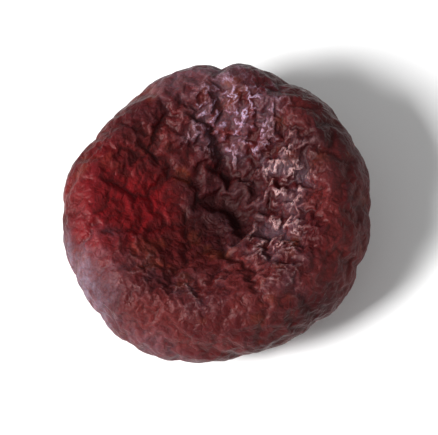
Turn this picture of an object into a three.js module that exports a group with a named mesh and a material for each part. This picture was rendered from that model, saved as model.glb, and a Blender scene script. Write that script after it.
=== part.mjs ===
// A whole dried apricot, stoned and unsulphured, lying the way it dried on its tray.
// It is one piece: a thick puffed rim round a sunken face, with the puckered slit that the stone was
// pressed out through, one long suture, pleats drawn in towards the slit and a net of wrinkles.
// Millimetres, +Z up. The origin is on the surface that the fruit lies on, under the middle of its
// outline. -Y is the low side of the rim, +X the longest way across.

import * as THREE from "three";
import { ImprovedNoise } from "three/addons/math/ImprovedNoise.js";
import { mergeVertices } from "three/addons/utils/BufferGeometryUtils.js";

const { smoothstep, degToRad, clamp, lerp } = THREE.MathUtils;

// ---------------------------------------------------------------- driving dimensions

const WIDTH = 36.8; // across, along X
const DEPTH = 36.4; // across, along Y
const THICKNESS = 15.4; // from what it lies on to the top of the rim

const RIM_RADIUS = 17.6; // outline before the fruit's own unevenness
const RIM_TOP = 13.3; // height of the rim before its waves
const FACE_DEPTH = 5.4; // how far the middle of the face lies under the rim
const FLAT_RADIUS = 6.5; // the spot pressed flat where the fruit lies
const PRESSED = 0.35; // how far the lowest folds are pressed up into that spot

const SKIN_DETAIL = 22; // 20 * (SKIN_DETAIL + 1)^2 triangles, about 0.8 mm a side

// Half of the section, from the middle of the underside round the rim to the middle of the face:
// distance from the axis, then height.
const SECTION = new THREE.SplineCurve(
  [
    [0, 0],
    [FLAT_RADIUS, 0],
    [12.2, 1.1],
    [16.2, 4.0],
    [RIM_RADIUS, 7.6],
    [16.6, 11.2],
    [13.7, RIM_TOP],
    [10.6, 12.2],
    [7.3, 10.3],
    [3.8, 8.7],
    [0, RIM_TOP - FACE_DEPTH],
  ].map(([radius, height]) => new THREE.Vector2(radius, height)),
);

// ---------------------------------------------------------------- uneven growth and slump

// Waves of the outline: how many lobes, how strong as a share of the radius, and where one points.
const OUTLINE_LOBES = [
  { lobes: 2, share: 0.022, towards: 20 },
  { lobes: 3, share: 0.014, towards: 75 },
  { lobes: 5, share: 0.009, towards: 10 },
];

// Waves of the rim's height, in mm.
const RIM_WAVES = [
  { lobes: 1, lift: 1.5, towards: 105 }, // the fruit lies thicker at the back
  { lobes: 2, lift: 0.55, towards: 160 },
  { lobes: 3, lift: 0.35, towards: 40 },
  { lobes: 5, lift: 0.15, towards: 66 },
];

const FACE_SHIFT = new THREE.Vector2(1.8, -0.4); // the hollow isn't in the middle of the fruit
const FACE_RISE = [2, 11]; // the heights that the rim's waves and the shift grow in over
const SLUMP = { size: 11, lift: 0.55, rise: [0.5, 6] }; // broad soft dents all over

// ---------------------------------------------------------------- creases

// Where folds stand on the section, from 0 in the middle of the underside to 1 in the middle of the
// face: they grow in over the first pair and die out over the second.
const FACE_SLOPE = { grow: [0.56, 0.72], fade: [0.86, 0.98] };
const RIM_WALL = { grow: [0.16, 0.36], fade: [0.56, 0.7] };

// Folds that run across the rim: about 2 * PI * crowding of them round the fruit.
const PLEATS = { crowding: 2.2, drift: 2.2, depth: 0.8, layer: 2 };
const STEEP_SIDE = { towards: 12, share: 0.8 }; // where the face is steep, and its folds deepest
const RIM_FOLDS = { crowding: 1.7, drift: 2.2, depth: 0.42, layer: 3 };

// Wrinkles that run every way.
const NET = [
  { size: 4.8, depth: 0.4, stretch: 0.75, layer: 5 },
  { size: 3.1, depth: 0.24, stretch: 0.85, layer: 6 },
];
const NET_ON_WALL = 0.45; // depth of the net outside the rim, as a share of its depth on the steep side
const NET_GROWS = [0.5, 0.68]; // it changes to its depth in the face over this part of the section
const NET_BEND = 0.35; // how far each wrinkle strays from straight, as a share of its size

// The seam from the slit out over the rim and back underneath.
const SUTURE = { towards: 68, halfWidth: 1.2, depth: 0.75, wander: 0.9, grow: [1.5, 5] };

// The slit, in the middle of the face.
const SLIT = { halfLength: 2.4, halfWidth: 0.85, depth: 1.1, turn: 118, bend: 0.12, lip: 0.25 };
const SLIT_ZONE = [0.76, 0.86]; // over this part of the section

const FOLD_SHARPNESS = 2.2; // how fast a fold rises from the noise's zero lines, which are its creases
const FOLD_MEAN = 0.6; // mean height of a fold, so that folds leave the plump shape's size alone
const RESTING_EDGE = 4; // the folds come back this far outside the flat spot

// ---------------------------------------------------------------- helpers

const NOISE_SEED = 40.5; // moves every noise to the same corner of the noise field
const LAYER_STEP = 17.3; // how far apart in the field two layers of noise are
const perlin = new ImprovedNoise();

function noise(point, size, layer) {
  const shift = NOISE_SEED + layer * LAYER_STEP;
  return perlin.noise(point.x / size + shift, point.y / size - shift, point.z / size + 0.5 * shift);
}

// 0 on the floor of a crease and 1 on the crest between two, sharper below than above.
const creased = (wave) => 1 - (1 - Math.min(1, Math.abs(wave))) ** 2;

// A bell from 1 in the middle to almost 0 at two widths.
const bell = (distance, width) => Math.exp(-((distance / width) ** 2));

// 1 inside a zone of the section, 0 outside it.
const within = (zone, along) => smoothstep(along, ...zone.grow) * (1 - smoothstep(along, ...zone.fade));

// Sum of waves round the fruit, each with a number of lobes and an angle that one points to.
function waves(list, azimuth, strength) {
  let sum = 0;
  for (const wave of list) {
    sum += wave[strength] * Math.cos(wave.lobes * (azimuth - degToRad(wave.towards)));
  }
  return sum;
}

// Angle from a bearing in degrees to an azimuth, folded into -PI..PI.
function turnFrom(degrees, azimuth) {
  const turn = azimuth - degToRad(degrees);
  return Math.atan2(Math.sin(turn), Math.cos(turn));
}

// A direction from the fruit's middle, as its azimuth and its place along the section. along runs from
// 0 in the middle of the underside to 1 in the middle of the face, evenly by distance over the skin.
function placeOf(direction) {
  const azimuth = Math.atan2(direction.y, direction.x);
  const along = Math.acos(clamp(-direction.z, -1, 1)) / Math.PI;
  return { azimuth, along };
}

// ---------------------------------------------------------------- the plump shape

// The fruit's smooth form for a direction from its middle, as a point in mm.
function plumpPoint(direction) {
  const { azimuth, along } = placeOf(direction);
  const section = SECTION.getPointAt(along);

  const out = section.x / RIM_RADIUS;
  const upper = smoothstep(section.y, ...FACE_RISE);
  const radius = section.x * (1 + waves(OUTLINE_LOBES, azimuth, "share"));
  const shifted = upper * Math.max(0, 1 - out) ** 1.5;

  const point = new THREE.Vector3(
    radius * Math.cos(azimuth) + FACE_SHIFT.x * shifted,
    radius * Math.sin(azimuth) + FACE_SHIFT.y * shifted,
    section.y + upper * out ** 2 * waves(RIM_WAVES, azimuth, "lift"),
  );
  point.z += SLUMP.lift * smoothstep(section.y, ...SLUMP.rise) * noise(point, SLUMP.size, 0);
  return point;
}

// ---------------------------------------------------------------- folds of the skin

// A family of folds that run across the rim. Noise on a ring round the fruit's axis keeps them uneven
// in width, and its slow drift along the section bends them.
function foldsAcross(folds, azimuth, along) {
  const ring = new THREE.Vector3(Math.cos(azimuth), Math.sin(azimuth), folds.drift * along);
  const wave = FOLD_SHARPNESS * noise(ring, 1 / folds.crowding, folds.layer);
  return folds.depth * (creased(wave) - FOLD_MEAN);
}

// A net of wrinkles that run every way.
function netHeight(net, point) {
  const bent = new THREE.Vector3(point.x, point.y, point.z * net.stretch);
  bent.x += NET_BEND * net.size * noise(point, net.size, net.layer + 3);
  bent.y += NET_BEND * net.size * noise(point, net.size, net.layer + 6);
  return net.depth * (creased(FOLD_SHARPNESS * noise(bent, net.size, net.layer)) - FOLD_MEAN);
}

// The suture, as a groove that wanders a little.
function sutureHeight(azimuth, point, radius) {
  const aside = Math.abs(turnFrom(SUTURE.towards, azimuth)) * radius;
  const wandered = aside + SUTURE.wander * noise(point, 6, 1);
  return -SUTURE.depth * bell(wandered, SUTURE.halfWidth) * smoothstep(radius, ...SUTURE.grow);
}

// Height of the skin's folds over the plump shape, in mm, at a point of it.
function foldHeight({ azimuth, along }, point) {
  const radius = Math.hypot(point.x, point.y);
  const resting = smoothstep(radius, FLAT_RADIUS, FLAT_RADIUS + RESTING_EDGE);
  const exposed = along > 0.5 ? 1 : resting;
  const steepness = 0.5 + 0.5 * Math.cos(turnFrom(STEEP_SIDE.towards, azimuth));
  const inFace = 1 - STEEP_SIDE.share * (1 - steepness);

  let height = exposed * sutureHeight(azimuth, point, radius);
  height += inFace * within(FACE_SLOPE, along) * foldsAcross(PLEATS, azimuth, along);
  height += exposed * within(RIM_WALL, along) * foldsAcross(RIM_FOLDS, azimuth, along);

  const wrinkling = exposed * lerp(NET_ON_WALL, inFace, smoothstep(along, ...NET_GROWS));
  for (const net of NET) {
    height += wrinkling * netHeight(net, point);
  }
  return height;
}

// How far the skin sinks into the slit or stands up as its lip, in mm along Z.
function slitHeight(along, point) {
  const turn = degToRad(SLIT.turn);
  const x = point.x - FACE_SHIFT.x;
  const y = point.y - FACE_SHIFT.y;
  const lengthways = x * Math.cos(turn) + y * Math.sin(turn);
  const sideways = y * Math.cos(turn) - x * Math.sin(turn) - SLIT.bend * lengthways ** 2;
  const past = Math.max(0, Math.abs(lengthways) - SLIT.halfLength);
  const distance = Math.hypot(sideways, past);
  const lip = SLIT.lip * bell(distance - 2.4 * SLIT.halfWidth, 1.1 * SLIT.halfWidth);
  return smoothstep(along, ...SLIT_ZONE) * (lip - SLIT.depth * bell(distance, SLIT.halfWidth));
}

// ---------------------------------------------------------------- the skin

const NORMAL_STEP = 0.02; // radians to either side when a slope is measured
const SIDE_GUIDE = new THREE.Vector3(0.31, 0.87, 0.38); // any bearing, to set the first slope's way

function skinPoint(direction) {
  const place = placeOf(direction);
  const point = plumpPoint(direction);
  const side = SIDE_GUIDE.clone().cross(direction).normalize();
  const across = direction.clone().cross(side);
  const slope = (way) => {
    const ahead = plumpPoint(direction.clone().addScaledVector(way, NORMAL_STEP).normalize());
    const behind = plumpPoint(direction.clone().addScaledVector(way, -NORMAL_STEP).normalize());
    return ahead.sub(behind);
  };
  const normal = slope(side).cross(slope(across)).normalize();
  point.z += slitHeight(place.along, point);
  return point.addScaledVector(normal, foldHeight(place, point));
}

// Stretches the skin to the driving dimensions, with the underside pressed flat on z = 0.
function fitToSize(geometry) {
  const skin = geometry.getAttribute("position");
  geometry.computeBoundingBox();
  const { min, max } = geometry.boundingBox;
  const lowest = min.z + PRESSED;
  for (let i = 0; i < skin.count; i++) {
    const x = ((skin.getX(i) - min.x) / (max.x - min.x) - 0.5) * WIDTH;
    const y = ((skin.getY(i) - min.y) / (max.y - min.y) - 0.5) * DEPTH;
    const z = ((skin.getZ(i) - lowest) / (max.z - lowest)) * THICKNESS;
    skin.setXYZ(i, x, y, Math.max(0, z));
  }
}

function fruitGeometry() {
  const ball = new THREE.IcosahedronGeometry(1, SKIN_DETAIL);
  ball.deleteAttribute("normal");
  ball.deleteAttribute("uv");
  const geometry = mergeVertices(ball);
  const skin = geometry.getAttribute("position");
  const direction = new THREE.Vector3();
  for (let i = 0; i < skin.count; i++) {
    direction.fromBufferAttribute(skin, i).normalize();
    skin.setXYZ(i, ...skinPoint(direction));
  }
  fitToSize(geometry);
  geometry.computeVertexNormals();
  return geometry;
}

// ---------------------------------------------------------------- the fruit

const driedSkin = new THREE.MeshStandardMaterial({ color: 0x4a1a16, roughness: 0.48, metalness: 0 });

const driedApricot = new THREE.Mesh(fruitGeometry(), driedSkin);
driedApricot.name = "dried_apricot";

const fruit = new THREE.Group();
fruit.add(driedApricot);

export default fruit;
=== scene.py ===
# %% [markdown]
# # A dried apricot
#
# A whole apricot, stoned and dried without sulphur, is a thick dark red-brown cushion. Its rim stays
# puffed, because the flesh is thickest there, and its face sinks in over the place the stone left.
# The solid from the CAD step has that form and its main folds. What is missing is the skin: hundreds of
# finer wrinkles, a painted red glow for the flesh seen through it, and the pale bloom that rubs off on the
# crests.
#
# The solid is never changed. A new skin is modelled on it, and takes its place in the picture.

# %% Load the solid as a fixed frame
import math

import bpy
import numpy as np
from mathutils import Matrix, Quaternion, Vector, noise


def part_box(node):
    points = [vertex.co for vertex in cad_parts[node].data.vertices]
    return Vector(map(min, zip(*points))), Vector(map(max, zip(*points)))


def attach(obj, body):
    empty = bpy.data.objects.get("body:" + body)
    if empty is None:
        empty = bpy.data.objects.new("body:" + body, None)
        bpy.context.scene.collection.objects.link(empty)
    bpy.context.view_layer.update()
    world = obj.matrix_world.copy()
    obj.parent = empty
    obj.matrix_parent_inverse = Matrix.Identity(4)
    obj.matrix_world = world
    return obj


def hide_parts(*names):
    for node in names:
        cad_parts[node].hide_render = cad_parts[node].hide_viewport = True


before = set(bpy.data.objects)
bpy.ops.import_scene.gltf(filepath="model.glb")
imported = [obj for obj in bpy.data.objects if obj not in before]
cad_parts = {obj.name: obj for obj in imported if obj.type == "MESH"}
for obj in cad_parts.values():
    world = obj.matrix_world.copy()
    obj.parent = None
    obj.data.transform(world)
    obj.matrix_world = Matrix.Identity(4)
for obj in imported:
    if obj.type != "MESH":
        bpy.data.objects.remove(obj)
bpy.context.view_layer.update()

MM = 0.001
NODE = "dried_apricot"
solid = bpy.data.objects[NODE]

low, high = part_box(NODE)
size = high - low
middle = (low + high) / 2
print("solid, mm:", [round(side / MM, 2) for side in size])

# %% [markdown]
# ## A cage of quads
#
# Skin that is going to wrinkle needs faces of one size, with no pole where they crowd together: wrinkles
# would follow a pole. A sphere of latitudes has two. An icosphere has none, but its triangles
# subdivide less smoothly than quads. So the cage is a cube whose faces are cut into quads and then
# pushed out to a ball.
#
# The ball is squashed to the solid's own box, and the middle of its top is pushed in with a soft falloff,
# as a thumb would, so that the cage already has a face when it is laid on the solid.


# %% Helpers for objects and modifiers
def only(obj):
    """Selects one object and nothing else."""
    bpy.ops.object.select_all(action="DESELECT")
    obj.select_set(True)
    bpy.context.view_layer.objects.active = obj


def modify(obj, kind, **settings):
    """Adds a modifier with these settings and applies it."""
    modifier = obj.modifiers.new(kind.lower(), kind)
    for name, value in settings.items():
        setattr(modifier, name, value)
    only(obj)
    bpy.ops.object.modifier_apply(modifier=modifier.name)


def points(obj):
    """The object's vertices as an array of places in metres."""
    places = np.empty(len(obj.data.vertices) * 3)
    obj.data.vertices.foreach_get("co", places)
    return places.reshape(-1, 3)


# %% A cube
only(solid)
bpy.ops.object.select_all(action="DESELECT")
bpy.ops.mesh.primitive_cube_add(size=2, location=middle)
skin = bpy.context.object
skin.name = "apricot_skin"
print("cube:", len(skin.data.polygons), "sides")

# %% [markdown]
# ### A place for every face in a picture
#
# Where the fruit is used outside Blender, its colours are baked into a picture, and each face needs its
# own place in it. Wrinkled skin that is unwrapped when it is finished falls into thousands of scraps
# with a seam round each. A cube is the easiest thing there is to unwrap, so it is done now: each of its six
# sides gets a sixth of the picture, and all quads that are cut from a side later stay within its part.

# %% Map the six sides
BAKE_MAP = "OFBake"  # the name of the map for baked colours
MAP_COLUMNS, MAP_ROWS = 3, 2
MAP_GAP = 0.004  # of a side, left free along its edge so that neighbours don't mix
CORNERS = np.array([(0, 0), (1, 0), (1, 1), (0, 1)])

bake_map = skin.data.uv_layers.active
bake_map.name = BAKE_MAP
inset_corners = MAP_GAP + (1 - 2 * MAP_GAP) * CORNERS
for side in skin.data.polygons:
    row, column = divmod(side.index, MAP_COLUMNS)
    corners = (inset_corners + (column, row)) / (MAP_COLUMNS, MAP_ROWS)
    for loop, corner in zip(side.loop_indices, corners):
        bake_map.uv[loop].vector = corner
print("map:", MAP_COLUMNS, "by", MAP_ROWS, "sides")

# %% Cube to ball
CUTS = 3  # each halves the squares, so a cube's side has 2 ** CUTS of them

bpy.ops.object.mode_set(mode="EDIT")
bpy.ops.mesh.select_all(action="SELECT")
for _ in range(CUTS):
    bpy.ops.mesh.subdivide(number_cuts=1)
bpy.ops.transform.tosphere(value=1.0)
bpy.ops.object.mode_set(mode="OBJECT")

skin.dimensions = size
bpy.ops.object.transform_apply(location=True, rotation=True, scale=True)
print("cage:", len(skin.data.polygons), "quads")

# %% Press in the face
HOLLOW = np.array([1.8 * MM, -0.4 * MM])  # where the face is deepest, a little off the middle
PRESS_DEPTH = 6.0 * MM
PRESS_REACH = 12.5 * MM


def select_points(obj, chosen):
    """Selects the vertices for which chosen is true, and opens the object for editing."""
    only(obj)
    bpy.ops.object.mode_set(mode="EDIT")
    bpy.ops.mesh.select_all(action="DESELECT")
    bpy.ops.object.mode_set(mode="OBJECT")
    obj.data.vertices.foreach_set("select", chosen)
    bpy.ops.object.mode_set(mode="EDIT")


cage = points(skin)
off_hollow = np.linalg.norm(cage[:, :2] - HOLLOW, axis=1)
off_hollow[cage[:, 2] < middle.z] = math.inf
select_points(skin, off_hollow == off_hollow.min())
bpy.ops.transform.translate(
    value=(0, 0, -PRESS_DEPTH),
    use_proportional_edit=True,
    proportional_edit_falloff="SMOOTH",
    proportional_size=PRESS_REACH,
)
bpy.ops.object.mode_set(mode="OBJECT")
pressed = (cage - points(skin))[:, 2]
print("pressed in:", int((pressed > 0).sum()), "vertices, by up to", round(pressed.max() / MM, 2), "mm")

# %% [markdown]
# ## Laying the cage on the solid
#
# Shrinkwrap moves every vertex to the nearest point of the solid. On its own it leaves quads bunched in
# some places and stretched in others. Rounds of wrapping and smoothing even them out, as one would pull
# a cloth smooth over a form, and let go.
#
# Most of the rounds are done while the quads are still large. A round moves each vertex by a part of
# a quad, so evening out a fine mesh would take hundreds, and a coarse one passes its order on when it
# is subdivided.

# %% Wrap and relax
COARSE_ROUNDS = 10
COARSE_SMOOTHING = 6
FINE_SMOOTHING = 4
GROWING_QUADS = 6 * 64**2  # enough for folds of 2 mm


def wrap():
    """Moves every vertex of the skin to the nearest point of the solid."""
    modify(skin, "SHRINKWRAP", target=solid, wrap_method="NEAREST_SURFACEPOINT")


def relax(rounds):
    """Evens out the skin's quads."""
    modify(skin, "SMOOTH", factor=0.5, iterations=rounds)


def subdivide():
    """Cuts each quad of the skin into four."""
    modify(skin, "SUBSURF", levels=1, render_levels=1)


def edge_lengths(obj):
    """Length of every edge, in mm."""
    ends = np.empty(len(obj.data.edges) * 2, dtype=int)
    obj.data.edges.foreach_get("vertices", ends)
    first, second = points(obj)[ends[0::2]], points(obj)[ends[1::2]]
    return np.linalg.norm(first - second, axis=1) / MM


for _ in range(COARSE_ROUNDS):
    wrap()
    relax(COARSE_SMOOTHING)
while len(skin.data.polygons) < GROWING_QUADS:
    wrap()
    subdivide()
    wrap()
    relax(FINE_SMOOTHING)
laid = points(skin)
shortest, longest = np.percentile(edge_lengths(skin), [5, 95])
print("skin:", len(skin.data.polygons), "quads, edges", round(shortest, 2), "to", round(longest, 2), "mm")

# %% [markdown]
# ## Growing the wrinkles
#
# A drying fruit loses most of its weight as water. The flesh shrinks, and the skin, which hardly does,
# is left too large for it. It has to go somewhere, so it buckles into wrinkles, and how far apart they
# stand is set by how stiff the skin is against how firmly the flesh holds it.
#
# Wrinkles drawn with noise never quite run as real ones do, which meet in threes, sharpen in
# hollows and fade where the skin is stretched. So they are grown in the same way: the skin is a
# cloth whose rest lengths get longer, held softly to where it started.
#
# First comes the question where the skin is too large. It is in the sunken face, most of all on its
# steep side, and less on the rim, which stayed plump. No two stretches of skin shrink quite alike.

# %% Where the skin is too large, and how firmly it is held
FACE_RISE = (6 * MM, 9 * MM)  # height at which the face begins
FACE_EDGE = (11.5 * MM, 15.0 * MM)  # distance from the middle at which it ends
STEEP_WAY = np.array([0.98, 0.2])  # the side of the face that is steep
STEEP_SPREAD = 0.7
RIM_SURPLUS = 0.16
FACE_SURPLUS = 0.08
STEEP_SURPLUS = 0.72
PATCH_SURPLUS = 0.2
PATCH_SIZE = 7 * MM
FLAT_UNDER = 0.05 * MM  # what lies lower than this is pressed on the surface
HELD_BY_FLESH = 0.3
HELD_FLAT = 1.0


def ramp(value, start, end):
    """0 before start, 1 after end, smooth between."""
    share = np.clip((value - start) / (end - start), 0, 1)
    return share * share * (3 - 2 * share)


def set_group(obj, name, weights):
    """A vertex group with a weight for every vertex."""
    group = obj.vertex_groups.new(name=name)
    for index, weight in enumerate(weights):
        group.add([index], float(weight), "REPLACE")
    return group.name


out = np.hypot(laid[:, 0], laid[:, 1])
height = laid[:, 2]
in_face = ramp(height, *FACE_RISE) * (1 - ramp(out, *FACE_EDGE))
towards_steep = (laid[:, :2] @ STEEP_WAY) / np.maximum(out, MM)
steep = ramp(towards_steep, -STEEP_SPREAD, STEEP_SPREAD)
patchy = np.array([noise.noise(Vector(place) / PATCH_SIZE) for place in laid])
surplus = RIM_SURPLUS + in_face * (FACE_SURPLUS + STEEP_SURPLUS * steep) + PATCH_SURPLUS * patchy
surplus = np.clip(surplus, 0, 1)
held = np.where(height < FLAT_UNDER, HELD_FLAT, HELD_BY_FLESH)

tight_group = set_group(skin, "tight", 1 - surplus)
held_group = set_group(skin, "held", held)
print("surplus:", round(float(surplus.mean()), 2), "of the most; flat:", int((height < FLAT_UNDER).sum()))

# %% [markdown]
# ### A cloth that grows
#
# Blender's Cloth can shrink its rest lengths, and a shrink below nothing is growth. Its vertex group
# goes from the one setting to the other, and the tight places get the smaller growth. Cloth is tuned
# for things the size of a shirt, so the fruit is simulated a hundred times larger and brought back.
# Gravity is off, because only the growth should move the skin.

# %% A helper that grows the skin
ENLARGE = 100
SKIN_AS_CLOTH = {
    "mass": 0.3,
    "tension_stiffness": 15,
    "compression_stiffness": 15,
    "shear_stiffness": 10,
    "bending_damping": 0.5,
}


def rescale(obj, factor):
    """Makes the mesh larger or smaller about the origin."""
    only(obj)
    obj.scale = (factor, factor, factor)
    bpy.ops.object.transform_apply(location=False, rotation=False, scale=True)


def grow(obj, pin, bending, growth, frames, quality):
    """Runs a cloth whose rest lengths grow, by the least growth where it is tight, up to the most."""
    rescale(obj, ENLARGE)
    cloth = obj.modifiers.new("growth", "CLOTH")
    fabric = cloth.settings
    for name, value in SKIN_AS_CLOTH.items():
        setattr(fabric, name, value)
    fabric.quality = quality
    fabric.bending_stiffness = bending
    fabric.vertex_group_mass = held_group
    fabric.pin_stiffness = pin
    fabric.vertex_group_shrink = tight_group
    least, most = growth
    fabric.shrink_min = -most
    fabric.shrink_max = -least
    fabric.effector_weights.gravity = 0
    cloth.collision_settings.use_collision = False
    cloth.point_cache.frame_start = 1
    cloth.point_cache.frame_end = frames
    for number in range(1, frames + 1):
        bpy.context.scene.frame_set(number)
    only(obj)
    bpy.ops.object.modifier_apply(modifier=cloth.name)
    bpy.context.scene.frame_set(1)
    rescale(obj, 1 / ENLARGE)


def report_move(name, obj, before):
    """Prints how far the vertices have moved since before."""
    moved = np.linalg.norm(points(obj) - before, axis=1) / MM
    print(f"{name}: moved {np.median(moved):.3f} mm in the median, {moved.max():.3f} mm at most")


# %% Grow the folds
FOLDS = {"pin": 1.0, "bending": 2.0, "growth": (0.005, 0.07), "frames": 16, "quality": 5}

before = points(skin)
grow(skin, **FOLDS)
report_move("folds", skin, before)

# %% [markdown]
# ### Wrinkles on the folds
#
# The mesh is subdivided once more and grown again, stiffer for its finer quads, so that small wrinkles
# stand on the folds. A smooth sheet could buckle along its rows of quads. A slight unevenness put in
# first gives each wrinkle its own place to start.

# %% Grow the wrinkles
SEED_LUMPS = 1.2 * MM
SEED_LIFT = 0.1 * MM
WRINKLES = {"pin": 1.0, "bending": 3.0, "growth": (0.005, 0.12), "frames": 10, "quality": 4}

subdivide()
unevenness = bpy.data.textures.new("unevenness", "CLOUDS")
unevenness.noise_scale = SEED_LUMPS
modify(skin, "DISPLACE", texture=unevenness, texture_coords="LOCAL", strength=SEED_LIFT, mid_level=0.5)
before = points(skin)
grow(skin, **WRINKLES)
report_move("wrinkles", skin, before)

# %% Press the underside flat again
ON_TABLE = 0.0

select_points(skin, points(skin)[:, 2] < ON_TABLE)
bpy.ops.transform.resize(value=(1, 1, 0), center_override=(0, 0, ON_TABLE))
bpy.ops.object.mode_set(mode="OBJECT")
grown = points(skin)
print("skin box, mm:", (np.ptp(grown, axis=0) / MM).round(2), "lowest", round(grown[:, 2].min() / MM, 3))

# %% [markdown]
# ## Crests and creases
#
# Bloom wears and gathers on what stands out, and painted shade goes in what lies low. The paint has to know
# which is which. Pointiness could tell it, but it follows the size of the faces and not a length.
# So the skin is copied and the copy smoothed, and how far each point stands above or below its smoothed
# self is kept on the mesh as a number that the material can read. A little smoothing finds the small
# wrinkles, and a lot of it finds the folds.


# %% Height over a smoothed copy
def relief(obj, smoothing, reach):
    """Height of each point over the object's smoothed copy: 0.5 is level, and reach up is 1."""
    smooth = obj.copy()
    smooth.data = obj.data.copy()
    bpy.context.scene.collection.objects.link(smooth)
    modify(smooth, "SMOOTH", factor=0.5, iterations=smoothing)
    normals = np.empty(len(smooth.data.vertices) * 3)
    smooth.data.vertices.foreach_get("normal", normals)
    lift = ((points(obj) - points(smooth)) * normals.reshape(-1, 3)).sum(1)
    bpy.data.objects.remove(smooth)
    return np.clip(0.5 + 0.5 * lift / reach, 0, 1)


def keep(obj, name, values):
    """Keeps a number for each vertex on the mesh."""
    layer = obj.data.attributes.new(name, "FLOAT", "POINT")
    layer.data.foreach_set("value", values.astype(np.float32))
    print(name, "relief spreads", round(float(values.std()), 3), "round", round(float(values.mean()), 3))


keep(skin, "wrinkle", relief(skin, smoothing=10, reach=0.07 * MM))
keep(skin, "fold", relief(skin, smoothing=120, reach=0.3 * MM))

# %% [markdown]
# ## The skin takes the solid's place
#
# From here on the solid stays in the model for weight and touch only. The skin is what is seen: it moves
# with the same body.

# %% Put the skin in the solid's place
only(skin)
bpy.ops.object.shade_smooth()
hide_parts(NODE)
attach(skin, "root")
print("skin:", 2 * len(skin.data.polygons), "triangles")

# %% [markdown]
# ## Dark flesh under a thin skin
#
# Unsulphured flesh browns in the sun to maroon and red-brown. Over that, painted shade darkens the hollow
# nearly to black, and the creases and three places on the rim less, and a painted red glow stands for light
# shining through the thin flesh. None of this has an edge: it drifts. One flat colour would look like
# plastic, and a drawn map would need a picture. Here the colour is built up in thin coats, as a painter
# would: each coat is a colour and a share from 0 to 1 that says how much of it lies where.
#
# A share comes from noise, from the distance to a place on the fruit, or from the two reliefs. All of
# them read the object's own coordinates, scaled to millimetres, so the sizes in the code are real ones.

# %% Helpers for nodes
material = bpy.data.materials.new("dried_skin")
material.use_nodes = True
tree = material.node_tree
shader = tree.nodes["Principled BSDF"]


def fill(socket, value):
    """Gives a socket a number or a colour, or links it to another node's output."""
    if isinstance(value, bpy.types.NodeSocket):
        tree.links.new(value, socket)
    else:
        socket.default_value = value


def add(kind, inputs, output=0, **settings):
    """Adds a node and returns one of its outputs."""
    node = tree.nodes.new(kind)
    for name, value in settings.items():
        setattr(node, name, value)
    for name, value in inputs.items():
        fill(node.inputs[name], value)
    return node.outputs[output]


# %% Helpers for shares
def plus(first, second):
    """Two numbers added."""
    return add("ShaderNodeMath", {0: first, 1: second}, operation="ADD")


def times(first, second):
    """A share of a share."""
    return add("ShaderNodeMath", {0: first, 1: second}, operation="MULTIPLY")


def either(first, second):
    """The larger of two shares."""
    return add("ShaderNodeMath", {0: first, 1: second}, operation="MAXIMUM")


def between(value, start, end, low=0.0, high=1.0):
    """Smoothly from low to high while the value goes from start to end."""
    limits = {"Value": value, "From Min": start, "From Max": end, "To Min": low, "To Max": high}
    return add("ShaderNodeMapRange", limits, interpolation_type="SMOOTHSTEP")


# %% Helpers for colours
def rgb(red, green, blue):
    """An opaque colour, each part from 0 to 1 as an amount of light."""
    return (red, green, blue, 1.0)


def coat(colour, paint, share):
    """The colour with a coat of paint over it."""
    node = tree.nodes.new("ShaderNodeMix")
    node.data_type = "RGBA"
    sockets = {socket.identifier: socket for socket in node.inputs}
    fill(sockets["Factor_Float"], share)
    fill(sockets["A_Color"], colour)
    fill(sockets["B_Color"], paint)
    return next(socket for socket in node.outputs if socket.identifier == "Result_Color")


# %% Places on the fruit, in millimetres
in_metres = add("ShaderNodeTexCoord", {}, output="Object")
in_mm = add("ShaderNodeVectorMath", {0: in_metres, "Scale": 1 / MM}, operation="SCALE")


def noise_of(lump, detail=3.0, roughness=0.55, output="Fac"):
    """Noise whose lumps are about so many millimetres wide."""
    settings = {"Vector": in_mm, "Scale": 1 / lump, "Detail": detail, "Roughness": roughness}
    return add("ShaderNodeTexNoise", settings, output=output)


def shifted(lump, reach, detail):
    """The places, each moved up to half of reach by a noise, so that what is drawn there isn't regular."""
    drift = noise_of(lump, detail, roughness=0.5, output="Color")
    drift = add("ShaderNodeVectorMath", {0: drift, 1: (0.5, 0.5, 0.5)}, operation="SUBTRACT")
    drift = add("ShaderNodeVectorMath", {0: drift, "Scale": reach}, operation="SCALE")
    return add("ShaderNodeVectorMath", {0: in_mm, 1: drift}, operation="ADD")


wandering = shifted(lump=4.5, reach=9.0, detail=4.0)


def patch(centre, inner, outer):
    """1 within inner mm of a place on the fruit, 0 past outer, with a wandering edge."""
    away = add("ShaderNodeVectorMath", {0: wandering, 1: centre}, output="Value", operation="DISTANCE")
    return between(away, inner, outer, low=1.0, high=0.0)


print("places:", len(tree.nodes), "nodes")

# %% Maroon and red-brown, with amber where the flesh is clear
MAROON = rgb(0.045, 0.0042, 0.0052)
RED_BROWN = rgb(0.078, 0.0098, 0.0098)
AMBER = rgb(0.150, 0.030, 0.010)
NEAR_BLACK = rgb(0.014, 0.003, 0.0035)
MOTTLES_MOST = 0.35  # share of near-black in the darkest mottles
AMBER_MOST = 0.35

cloudy = noise_of(7.0, detail=4.0)
mottled = noise_of(1.6, detail=5.0)
clear = noise_of(5.0, detail=3.0, roughness=0.6)
colour = coat(MAROON, RED_BROWN, between(cloudy, 0.38, 0.62))
colour = coat(colour, NEAR_BLACK, times(between(mottled, 0.5, 0.75), MOTTLES_MOST))
colour = coat(colour, AMBER, times(between(clear, 0.56, 0.7), AMBER_MOST))
print("flesh:", len(tree.nodes), "nodes")

# %% Painted red glow on the gentle side of the face, and painted shade in the hollow
PAINTED_GLOW = rgb(0.165, 0.0040, 0.0065)
PAINTED_GLOW_MOST = 0.85
SHADE_IN_HOLLOW = 0.8

# a painted glow: red light shining through the thin flesh of the gentle side
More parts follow.
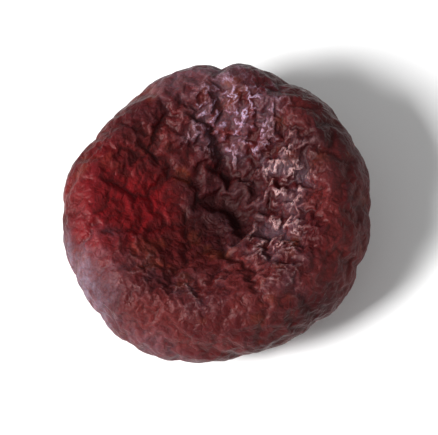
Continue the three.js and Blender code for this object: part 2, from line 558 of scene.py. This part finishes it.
painted_glow = patch((-10.0, 2.5, 12.5), inner=1.0, outer=9.5)
colour = coat(colour, PAINTED_GLOW, times(painted_glow, PAINTED_GLOW_MOST))
# painted shade: the hollow of the face darkened nearly to black
hollow = patch((2.0, -0.5, 8.0), inner=1.0, outer=9.0)
colour = coat(colour, NEAR_BLACK, times(hollow, SHADE_IN_HOLLOW))
print("glow and hollow:", len(tree.nodes), "nodes")

# %% Painted shade in three places on the rim
PAINTED_SHADE_MOST = 0.5

# painted shade: three places on the rim darkened towards near-black
shade_front = patch((4.0, -19.0, 7.0), inner=2.0, outer=9.5)
shade_right = patch((14.0, 1.5, 13.5), inner=1.5, outer=7.5)
shade_left = patch((-18.0, 3.5, 12.0), inner=1.0, outer=6.0)
painted_shade = either(either(shade_front, shade_right), shade_left)
colour = coat(colour, NEAR_BLACK, times(painted_shade, PAINTED_SHADE_MOST))
print("thick flesh:", len(tree.nodes), "nodes")

# %% Painted shade in the creases
SHADE_IN_WRINKLES = 0.3
SHADE_IN_FOLDS = 0.3

wrinkle = add("ShaderNodeAttribute", {}, output="Fac", attribute_name="wrinkle")
fold = add("ShaderNodeAttribute", {}, output="Fac", attribute_name="fold")

# painted shade: low wrinkles and folds darkened towards near-black
colour = coat(colour, NEAR_BLACK, times(between(wrinkle, 0.5, 0.15), SHADE_IN_WRINKLES))
colour = coat(colour, NEAR_BLACK, times(between(fold, 0.5, 0.1), SHADE_IN_FOLDS))
print("creases:", len(tree.nodes), "nodes")

# %% [markdown]
# ## Bloom
#
# Bloom is the waxy powder of a ripe fruit. It is a dull grey-violet, stays longest on the outside of the
# rim, where no neighbour rubs it off, and is gone from the face apart from a trace on the folds. On the
# left and front of the wall, which face the lamp, the same pale coat is also a painted sheen, the grey of a
# bright surrounding mirrored in the skin. It could be a second shader mixed in, but a coat of pale colour
# that is also rougher looks the same and stays one simple surface.

# %% Bloom, and painted sheen, on the outside of the rim
BLOOM_AND_SHEEN = rgb(0.158, 0.114, 0.148)
BLOOM_AND_SHEEN_MOST = 0.72
BLOOM_AND_SHEEN_ON_FOLDS = 0.04
FRONT_SHARE = 0.35  # of the bloom and sheen on the left
BACK_SHARE = 0.65

# bloom, and on the left and front a painted sheen where the wall faces the lamp
outer_left = patch((-17.5, -3.0, 7.0), inner=3.5, outer=9.5)
outer_front = patch((-12.5, -12.5, 6.0), inner=1.5, outer=7.0)
outer_back = patch((3.0, 17.0, 9.0), inner=3.0, outer=9.0)
bloom_and_sheen_place = either(either(outer_left, times(outer_front, FRONT_SHARE)), times(outer_back, BACK_SHARE))
powdery = between(noise_of(1.1, detail=6.0, roughness=0.7), 0.28, 0.68, low=0.15)
bloom_and_sheen = plus(times(bloom_and_sheen_place, BLOOM_AND_SHEEN_MOST), times(between(fold, 0.45, 0.85), BLOOM_AND_SHEEN_ON_FOLDS))
bloom_and_sheen = times(bloom_and_sheen, powdery)
colour = coat(colour, BLOOM_AND_SHEEN, bloom_and_sheen)
print("bloom:", len(tree.nodes), "nodes")

# %% [markdown]
# ## Sugar and painted highlights on the steep side
#
# Sugar comes out of the flesh as it dries and shows first on the sharpest wrinkles, as thin pale lines and
# grains. The same pale lines are also painted highlights: the glints on crests that turn towards the lamp.
# Scattered grains of mesh would be thousands of tiny pieces. The reliefs already know where the crests are,
# so sugar and highlights are painted there: on the steep side of the face and thinly on the low crest of
# the rim, only on top of wrinkles that stand on folds, missing in places, and broken up by a fine powder.

# %% Sugar and painted highlights on the crests
SUGAR_AND_HIGHLIGHT = rgb(0.430, 0.265, 0.265)
LILAC = rgb(0.340, 0.250, 0.360)  # sugar and painted highlight over bloom, at the back
SUGAR_AND_HIGHLIGHT_MOST = 0.95
HAZE_MOST = 0.18  # share of bloom and sheen between the grains
CREST_SHARE = 0.45  # of the sugar and painted highlight on the steep side
HOLLOW_SHARE = 0.12

steep_back = patch((6.4, 9.4, 12.0), inner=2.8, outer=8.2)
steep_side = patch((8.8, 0.6, 10.5), inner=2.5, outer=7.0)
steep_front = patch((5.0, -6.9, 9.5), inner=1.5, outer=6.0)
left_crest = patch((-11.0, -6.0, 13.8), inner=0.5, outer=5.5)
front_crest = patch((-5.5, -11.0, 12.5), inner=0.5, outer=5.0)
right_crest = patch((6.0, -12.0, 12.5), inner=0.5, outer=5.0)
low_crest = either(left_crest, either(front_crest, right_crest))
sugar_and_highlight_zone = either(either(steep_back, steep_side), either(steep_front, times(low_crest, CREST_SHARE)))
sugar_and_highlight_zone = times(sugar_and_highlight_zone, between(hollow, 0.0, 1.0, low=1.0, high=HOLLOW_SHARE))

haze = times(between(noise_of(2.2, detail=4.0), 0.4, 0.6), HAZE_MOST)
colour = coat(colour, BLOOM_AND_SHEEN, times(sugar_and_highlight_zone, haze))

on_top = times(between(wrinkle, 0.42, 0.9), between(fold, 0.3, 0.7))
in_patches = between(noise_of(1.5, detail=5.0, roughness=0.6), 0.4, 0.6)
grains = between(noise_of(0.22, detail=3.0, roughness=0.7), 0.3, 0.62)
# sugar grains together with painted highlights on the crests that face the lamp
sugar_and_highlight = times(times(sugar_and_highlight_zone, on_top), times(in_patches, grains))
colour = coat(colour, coat(SUGAR_AND_HIGHLIGHT, LILAC, steep_back), times(sugar_and_highlight, SUGAR_AND_HIGHLIGHT_MOST))
print("sugar:", len(tree.nodes), "nodes")

# %% [markdown]
# ## Leather, pores and gloss
#
# Under a lens the skin between two wrinkles is fine leather: small cushions about a millimetre wide, with
# pores. They are too small for the mesh, so they are a bump. The skin is neither wet nor matt. It has
# a satin gloss that changes from spot to spot, is dulled by bloom and is faintly pink, because a wrinkle
# mostly mirrors other red wrinkles. A little light goes in and comes out red, which keeps the dark
# colour from looking like paint.

# %% Cushions and pores
CUSHION_WIDTH = 1.0
PORE_SPACING = 0.8
DARK_IN_SEAMS = 0.25  # share of near-black between two cushions
DARK_IN_PORES = 0.35

wavy = shifted(lump=1.1, reach=1.2, detail=2.0)
cells = {"Vector": wavy, "Scale": 1 / CUSHION_WIDTH}
to_edge = add("ShaderNodeTexVoronoi", cells, output="Distance", feature="DISTANCE_TO_EDGE")
cushion = between(to_edge, 0.0, 0.3)
colour = coat(colour, NEAR_BLACK, times(between(to_edge, 0.08, 0.0), DARK_IN_SEAMS))
to_pore = add("ShaderNodeTexVoronoi", {"Vector": in_mm, "Scale": 1 / PORE_SPACING}, output="Distance")
pore = between(to_pore, 0.16, 0.05)
colour = coat(colour, NEAR_BLACK, times(pore, DARK_IN_PORES))
tree.links.new(colour, shader.inputs["Base Color"])
print("leather:", len(tree.nodes), "nodes")

# %% Gloss
SMOOTHEST, ROUGHEST = 0.31, 0.5
BLOOM_DULLS = 0.3
HOLLOW_DULLS = 0.12
GLOSS_LEVEL = 0.12
GLOSS_TINT = rgb(1.0, 0.70, 0.68)

gloss = between(mottled, 0.3, 0.7, low=SMOOTHEST, high=ROUGHEST)
dulled = plus(times(bloom_and_sheen, BLOOM_DULLS), times(hollow, HOLLOW_DULLS))
tree.links.new(plus(gloss, dulled), shader.inputs["Roughness"])
shader.inputs["Specular IOR Level"].default_value = GLOSS_LEVEL
shader.inputs["Specular Tint"].default_value = GLOSS_TINT
print("roughness:", SMOOTHEST, "to", ROUGHEST, "and more under bloom")

# %% Light inside the flesh
LIGHT_INSIDE = 0.3
LIGHT_REACH = (2.2, 0.5, 0.3)  # how far red, green and blue light goes, in mm

shader.inputs["Subsurface Weight"].default_value = LIGHT_INSIDE
shader.inputs["Subsurface Radius"].default_value = LIGHT_REACH
shader.inputs["Subsurface Scale"].default_value = MM
print("red light goes", LIGHT_REACH[0], "mm, blue", LIGHT_REACH[2], "mm")

# %% Relief finer than the mesh
LEATHER_DEPTH = 0.12 * MM
LEATHER_STRENGTH = 0.6
CUSHION_RISE = 0.8  # of the leather's depth
GRAIN_RISE = 0.9
PORE_RISE = -0.5

grain = noise_of(0.3, detail=4.0, roughness=0.6)
leather = plus(times(cushion, CUSHION_RISE), times(grain, GRAIN_RISE))
leather = plus(leather, times(pore, PORE_RISE))
bump = add("ShaderNodeBump", {"Height": leather, "Strength": LEATHER_STRENGTH, "Distance": LEATHER_DEPTH})
tree.links.new(bump, shader.inputs["Normal"])
skin.data.materials.append(material)
print("skin material:", len(tree.nodes), "nodes")

# %% [markdown]
# ## A table and soft light
#
# The fruit lies on plain pale paper. A large square lamp, low on the left, rakes over the wrinkles and
# fills the steep side of the face, which turns towards it, and turns away from the gentle side, where the
# red glow is painted. A weaker lamp opposite and a pale surrounding keep the shadows open.

# %% Paper
PAPER_SIDE = 6.0
PAPER = rgb(0.85, 0.85, 0.85)
PAPER_ROUGHNESS = 0.6

bpy.ops.object.select_all(action="DESELECT")
bpy.ops.mesh.primitive_plane_add(size=PAPER_SIDE, location=(0, 0, 0))
floor = bpy.context.object
floor.name = "floor"
paper = bpy.data.materials.new("pale_paper")
paper.use_nodes = True
paper_shader = paper.node_tree.nodes["Principled BSDF"]
paper_shader.inputs["Base Color"].default_value = PAPER
paper_shader.inputs["Roughness"].default_value = PAPER_ROUGHNESS
floor.data.materials.append(paper)
print("paper:", PAPER_SIDE, "m wide")

# %% Surrounding
WHITE = rgb(1, 1, 1)
SURROUNDING_STRENGTH = 0.28

world = bpy.data.worlds.new("studio")
bpy.context.scene.world = world
world.use_nodes = True
surrounding = world.node_tree.nodes["Background"]
surrounding.inputs["Color"].default_value = WHITE
surrounding.inputs["Strength"].default_value = SURROUNDING_STRENGTH
print("surrounding: white, strength", SURROUNDING_STRENGTH)


# %% Lamps
def soft_light(name, place, side, power):
    """A square lamp of so many watts that points at the fruit."""
    lamp = bpy.data.lights.new(name, "AREA")
    lamp.shape = "SQUARE"
    lamp.size = side
    lamp.energy = power
    light = bpy.data.objects.new(name, lamp)
    bpy.context.scene.collection.objects.link(light)
    light.location = place
    towards = middle - Vector(place)
    light.rotation_euler = towards.to_track_quat("-Z", "Y").to_euler()
    print(name, "lamp:", round(towards.length, 2), "m away,", power, "W")


soft_light("key", place=(-0.5, -0.08, 0.45), side=0.25, power=10.0)
soft_light("fill", place=(0.5, -0.2, 0.4), side=0.5, power=1.0)

# %% [markdown]
# ## The camera
#
# It looks down steeply into the face, from the front, and leans a little, so that the front of the rim
# hides nothing of the hollow and the wall below it still shows. A long lens from two thirds of a metre
# keeps the round outline true.

# %% Camera
ELEVATION = math.radians(64)
LEAN = math.radians(-20.8)
DISTANCE = 0.646
SEEN = 0.052  # width of the view, at the fruit
SENSOR = 36.0  # mm
AIM = Vector((0, 0, 6.5 * MM))

camera_data = bpy.data.cameras.new("camera")
camera = bpy.data.objects.new("camera", camera_data)
bpy.context.scene.collection.objects.link(camera)
back = Vector((0, -math.cos(ELEVATION), math.sin(ELEVATION)))
camera.location = AIM + back * DISTANCE
look = (-back).to_track_quat("-Z", "Y") @ Quaternion((0, 0, 1), LEAN)
camera.rotation_euler = look.to_euler()
camera_data.sensor_width = SENSOR
camera_data.lens = SENSOR * DISTANCE / SEEN
bpy.context.scene.camera = camera
bpy.context.scene.view_settings.view_transform = "Standard"
print("lens:", round(camera_data.lens), "mm")
